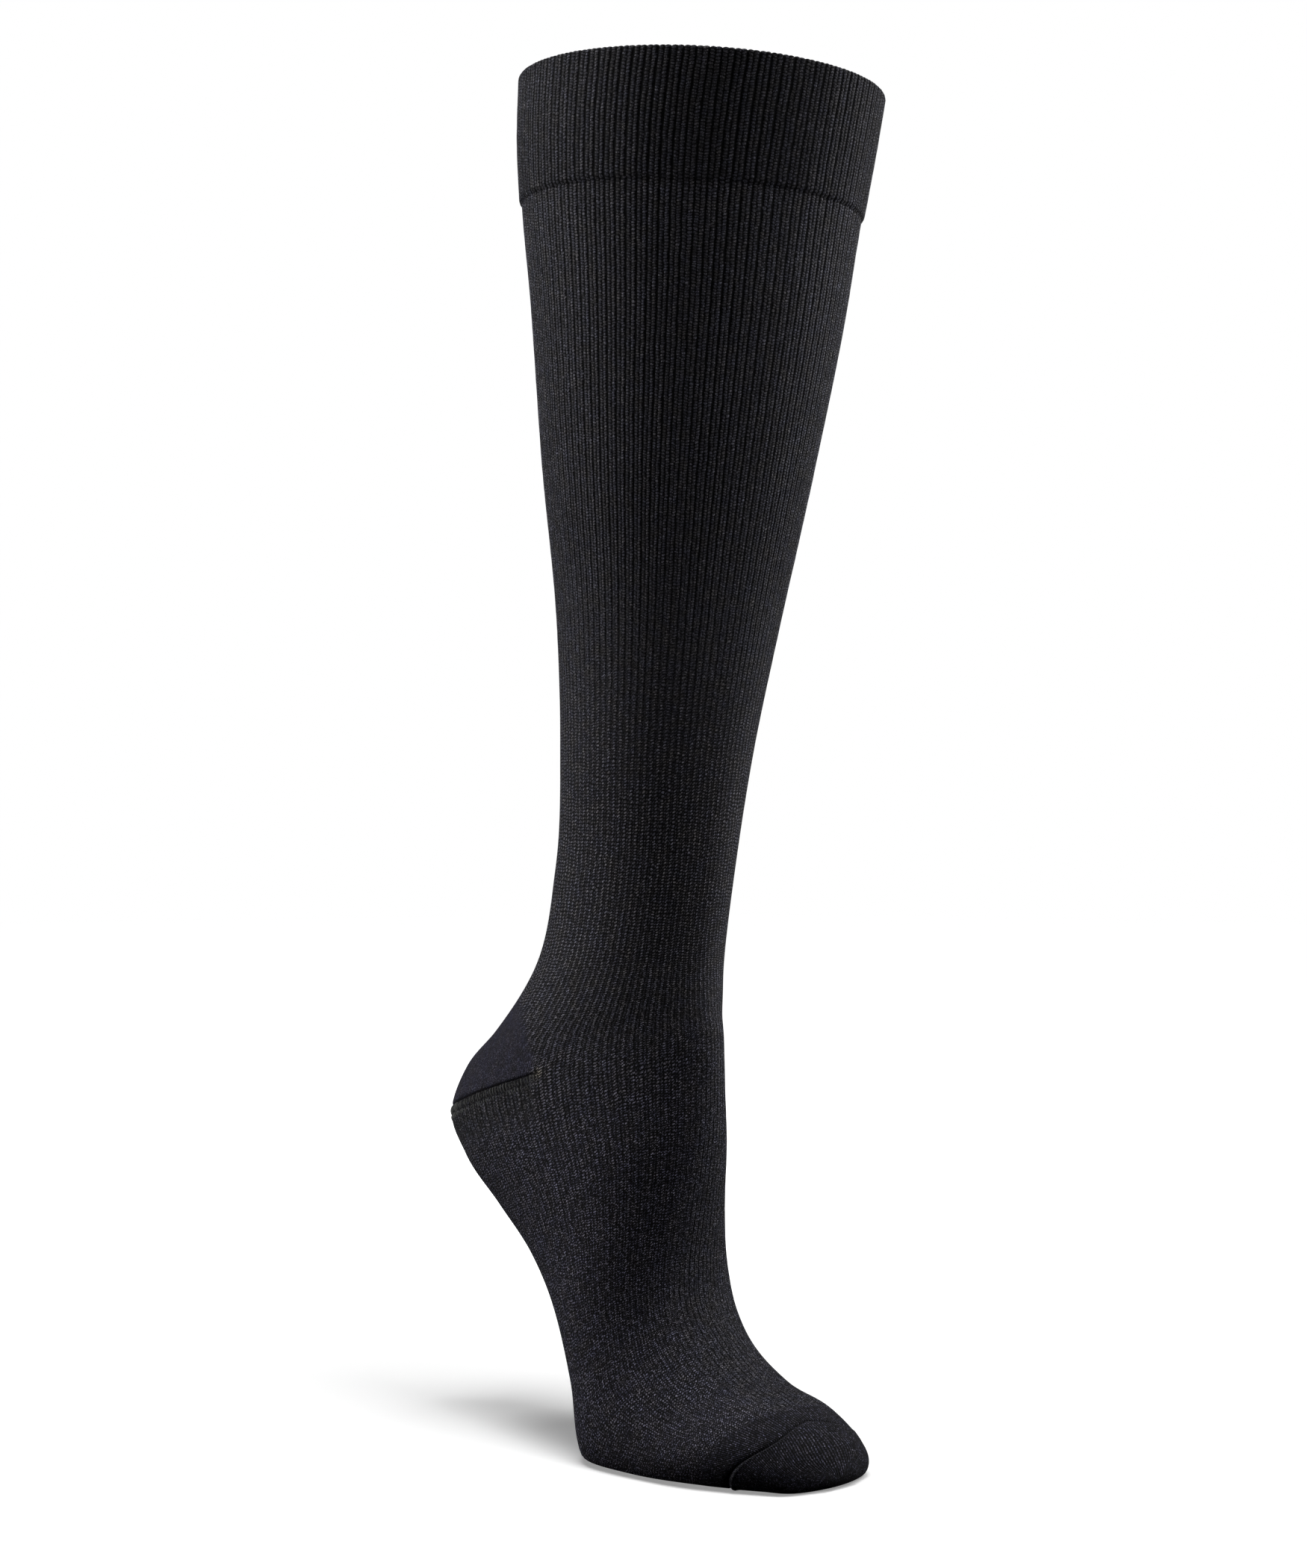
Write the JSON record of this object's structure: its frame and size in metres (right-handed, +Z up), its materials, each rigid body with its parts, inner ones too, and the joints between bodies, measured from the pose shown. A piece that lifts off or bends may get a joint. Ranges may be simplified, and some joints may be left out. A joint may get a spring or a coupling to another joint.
{
  "type": "compression stocking",
  "caption": "Knee-high ribbed compression stocking with a doubled top band, a plain heel pocket and a closed plain toe, filled out as worn, its foot up on the toes.",
  "frame": {"origin": "middle of the mouth, the opening at the top band's upper edge, where the wearer's leg goes in and holds the stocking up", "axes": "+Z up along the standing leg, the toes towards -Y, +X to the side; the stocking is the same on both sides of X = 0"},
  "size_m": [0.1246, 0.1941, 0.491],
  "materials": {
    "band_knit": "black doubled rib knit, matt",
    "leg_knit": "black rib knit, matt, with faint glints on the stitches",
    "heel_knit": "charcoal plain knit, fine and matt",
    "foot_knit": "black rib knit, matt, a little lighter than the leg",
    "toe_knit": "black plain knit, fine and matt"
  },
  "bodies": {
    "root": {"top_band": "band_knit", "leg": "leg_knit", "heel_pocket": "heel_knit", "foot": "foot_knit", "toe_cap": "toe_knit"}
  },
  "joints": []
}
